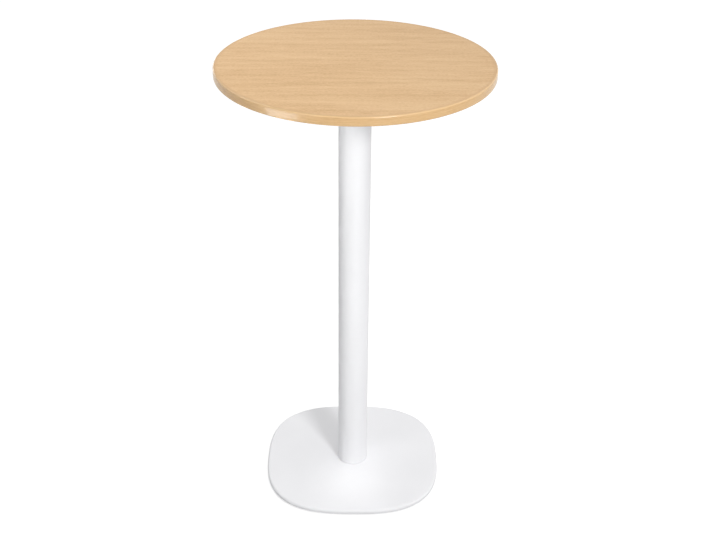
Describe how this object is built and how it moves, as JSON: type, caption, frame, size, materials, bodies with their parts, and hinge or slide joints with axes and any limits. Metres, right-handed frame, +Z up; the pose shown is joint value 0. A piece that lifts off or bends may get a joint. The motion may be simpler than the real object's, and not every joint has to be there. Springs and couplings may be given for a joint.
{
  "type": "round standing-height cafe table",
  "caption": "Round cafe table at standing height: oak-look laminate top with a matching edge band, white steel column and a flat soft-square white steel base plate on levelling feet.",
  "frame": {"origin": "on the floor, on the column's axis", "axes": "+Z up through the column, +X along the grain of the top and to the right in the picture, -Y towards the viewer of the picture"},
  "size_m": [0.6, 0.6, 1.06],
  "materials": {
    "oak_laminate": "satin pale oak decor laminate, straight grain along X",
    "oak_edge": "satin oak-look plastic edge band with rounded edges",
    "chipboard": "raw chipboard",
    "backing": "plain off-white balancing laminate",
    "white_powder_coat": "fine satin white powder coat",
    "bare_steel": "turned bare steel",
    "zinc_plate": "bright zinc plating",
    "black_nylon": "moulded black nylon"
  },
  "bodies": {
    "table": {"top_laminate": "oak_laminate", "top_core": "chipboard", "backing_laminate": "backing", "edge_band": "oak_edge", "top_plate": "white_powder_coat", "column_tube": "white_powder_coat", "column_end_disc": "bare_steel", "base_plate": "white_powder_coat", "insert_nut_1": "zinc_plate", "insert_nut_2": "zinc_plate", "insert_nut_3": "zinc_plate", "insert_nut_4": "zinc_plate", "top_washer_1": "zinc_plate", "top_washer_2": "zinc_plate", "top_washer_3": "zinc_plate", "top_washer_4": "zinc_plate", "top_screw_1": "zinc_plate", "top_screw_2": "zinc_plate", "top_screw_3": "zinc_plate", "top_screw_4": "zinc_plate", "base_bolt_1": "zinc_plate", "base_bolt_2": "zinc_plate", "base_bolt_3": "zinc_plate", "base_bolt_4": "zinc_plate"},
    "pad_1": {"foot_pad_1": "black_nylon"},
    "stud_1": {"foot_stud_1": "zinc_plate"},
    "pad_2": {"foot_pad_2": "black_nylon"},
    "stud_2": {"foot_stud_2": "zinc_plate"},
    "pad_3": {"foot_pad_3": "black_nylon"},
    "stud_3": {"foot_stud_3": "zinc_plate"},
    "pad_4": {"foot_pad_4": "black_nylon"},
    "stud_4": {"foot_stud_4": "zinc_plate"}
  },
  "joints": [
    {"name": "foot_1_travel", "type": "slide", "parent": "table", "child": "pad_1", "axis": [0, 0, -1], "range_m": [0, 0.005]},
    {"name": "foot_1_turn", "type": "hinge", "parent": "pad_1", "child": "stud_1", "pos_m": [0.13852, 0.13852, 0.008], "axis": [0, 0, -1], "range_deg": [0, 1440]},
    {"name": "foot_2_travel", "type": "slide", "parent": "table", "child": "pad_2", "axis": [0, 0, -1], "range_m": [0, 0.005]},
    {"name": "foot_2_turn", "type": "hinge", "parent": "pad_2", "child": "stud_2", "pos_m": [-0.13852, 0.13852, 0.008], "axis": [0, 0, -1], "range_deg": [0, 1440]},
    {"name": "foot_3_travel", "type": "slide", "parent": "table", "child": "pad_3", "axis": [0, 0, -1], "range_m": [0, 0.005]},
    {"name": "foot_3_turn", "type": "hinge", "parent": "pad_3", "child": "stud_3", "pos_m": [-0.13852, -0.13852, 0.008], "axis": [0, 0, -1], "range_deg": [0, 1440]},
    {"name": "foot_4_travel", "type": "slide", "parent": "table", "child": "pad_4", "axis": [0, 0, -1], "range_m": [0, 0.005]},
    {"name": "foot_4_turn", "type": "hinge", "parent": "pad_4", "child": "stud_4", "pos_m": [0.13852, -0.13852, 0.008], "axis": [0, 0, -1], "range_deg": [0, 1440]}
  ],
  "couplings": [
    {"joint": "foot_1_travel", "follows": "foot_1_turn", "m_per_rad": 0.00019894},
    {"joint": "foot_2_travel", "follows": "foot_2_turn", "m_per_rad": 0.00019894},
    {"joint": "foot_3_travel", "follows": "foot_3_turn", "m_per_rad": 0.00019894},
    {"joint": "foot_4_travel", "follows": "foot_4_turn", "m_per_rad": 0.00019894}
  ]
}
